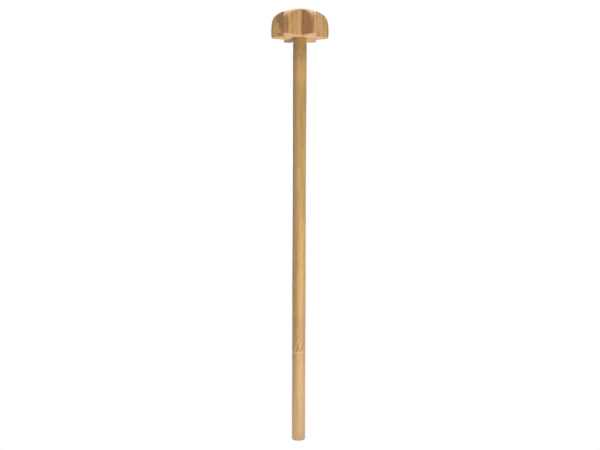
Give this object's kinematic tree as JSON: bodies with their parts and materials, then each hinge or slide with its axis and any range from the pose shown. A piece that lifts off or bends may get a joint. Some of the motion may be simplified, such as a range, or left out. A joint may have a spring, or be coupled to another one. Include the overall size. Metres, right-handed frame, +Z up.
{
  "type": "muddler",
  "caption": "Long thin bamboo muddler with a star-shaped, dome-topped pressing head glued on a round rod.",
  "frame": {"origin": "centre of the rod's free end, where the rod's axis meets the end face", "axes": "+Z up along the rod to the head's crown; +X along two opposite lobes; a notch faces -Y, the front"},
  "size_m": [0.043, 0.039, 0.3227],
  "materials": {
    "bamboo_rod": "turned and sanded bare bamboo, satin",
    "bamboo_lamella": "laminated bare bamboo, sawn and sanded, matt"
  },
  "bodies": {
    "root": {"handle_rod": "bamboo_rod", "head_lamella_front_1": "bamboo_lamella", "head_lamella_front_2": "bamboo_lamella", "head_lamella_front_3": "bamboo_lamella", "head_lamella_front_4": "bamboo_lamella", "head_lamella_front_5": "bamboo_lamella", "head_lamella_front_6": "bamboo_lamella", "head_lamella_back_1": "bamboo_lamella", "head_lamella_back_2": "bamboo_lamella", "head_lamella_back_3": "bamboo_lamella", "head_lamella_back_4": "bamboo_lamella", "head_lamella_back_5": "bamboo_lamella", "head_lamella_back_6": "bamboo_lamella"}
  },
  "joints": []
}
